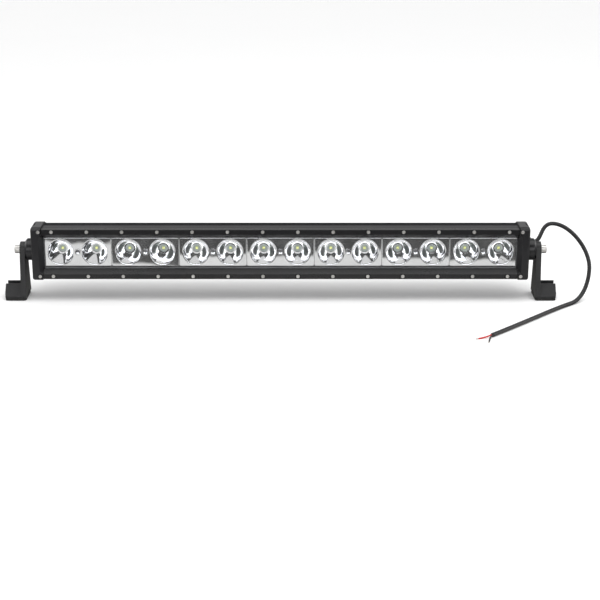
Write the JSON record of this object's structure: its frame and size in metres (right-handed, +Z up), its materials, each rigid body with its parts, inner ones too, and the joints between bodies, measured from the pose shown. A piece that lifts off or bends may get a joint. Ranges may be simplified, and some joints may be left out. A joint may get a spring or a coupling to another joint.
{
  "type": "led light bar",
  "caption": "Straight LED light bar in a finned black housing with chrome reflector cups behind a clear lens, carried on two tilting end brackets with rubber feet and a power cable.",
  "frame": {"origin": "midway between the two foot bolt holes, on the mounting surface under the rubber foot pads", "axes": "+X along the bar towards the end with the cable gland, -Y is the lit front, +Z up from the mounting surface"},
  "size_m": [0.9104, 0.2674, 0.119],
  "materials": {
    "housing_paint": "satin",
    "bezel_paint": "satin",
    "cap_paint": "satin",
    "bracket_paint": "satin",
    "stainless": "brushed",
    "plated_plastic": "polished",
    "clear_polycarbonate": "clear",
    "seal_rubber": "matte",
    "pad_rubber": "matte",
    "cable_jacket": "satin",
    "red_insulation": "gloss",
    "black_insulation": "gloss",
    "tinned_copper": "satin",
    "board_aluminium": "satin",
    "led_ceramic": "matte",
    "phosphor": "satin",
    "led_silicone": "clear",
    "fibreglass": "satin",
    "ferrite": "matte",
    "can_aluminium": "satin",
    "chip_epoxy": "matte",
    "solder": "satin",
    "gland_nylon": "satin"
  },
  "bodies": {
    "mount": {"left_bracket": "bracket_paint", "right_bracket": "bracket_paint", "left_foot_pad": "pad_rubber", "right_foot_pad": "pad_rubber", "red_lead": "red_insulation", "black_lead": "black_insulation", "lead_tips": "tinned_copper"},
    "bar": {"housing": "housing_paint", "top_bezel": "bezel_paint", "bottom_bezel": "bezel_paint", "lens": "clear_polycarbonate", "lens_gasket": "seal_rubber", "left_end_cap": "cap_paint", "right_end_cap": "cap_paint", "left_end_gasket": "seal_rubber", "right_end_gasket": "seal_rubber", "led_packages": "led_ceramic", "led_dies": "phosphor", "led_domes": "led_silicone", "reflector_screws": "stainless", "board_screws": "stainless", "board_links": "solder", "driver_board": "fibreglass", "driver_coils": "ferrite", "driver_capacitors": "can_aluminium", "driver_chips": "chip_epoxy", "feed_wire_red": "red_insulation", "feed_wire_black": "black_insulation", "gland_body": "gland_nylon", "gland_nut": "gland_nylon", "gland_seal": "seal_rubber", "power_cable": "cable_jacket", "bezel_screws": "stainless", "cap_face_screws": "stainless", "cap_side_screws": "stainless", "left_pivot_screw": "stainless", "right_pivot_screw": "stainless", "pivot_flat_washers": "stainless", "pivot_spring_washers": "stainless", "reflector_1": "plated_plastic", "led_board_1": "board_aluminium", "reflector_2": "plated_plastic", "led_board_2": "board_aluminium", "reflector_3": "plated_plastic", "led_board_3": "board_aluminium", "reflector_4": "plated_plastic", "led_board_4": "board_aluminium", "reflector_5": "plated_plastic", "led_board_5": "board_aluminium", "reflector_6": "plated_plastic", "led_board_6": "board_aluminium", "reflector_7": "plated_plastic", "led_board_7": "board_aluminium"}
  },
  "joints": [
    {"name": "bar_tilt", "type": "hinge", "parent": "mount", "child": "bar", "pos_m": [0, 0, 0.077], "axis": [-1, 0, 0], "range_deg": [-90, 50], "deforming": ["power_cable"]}
  ]
}
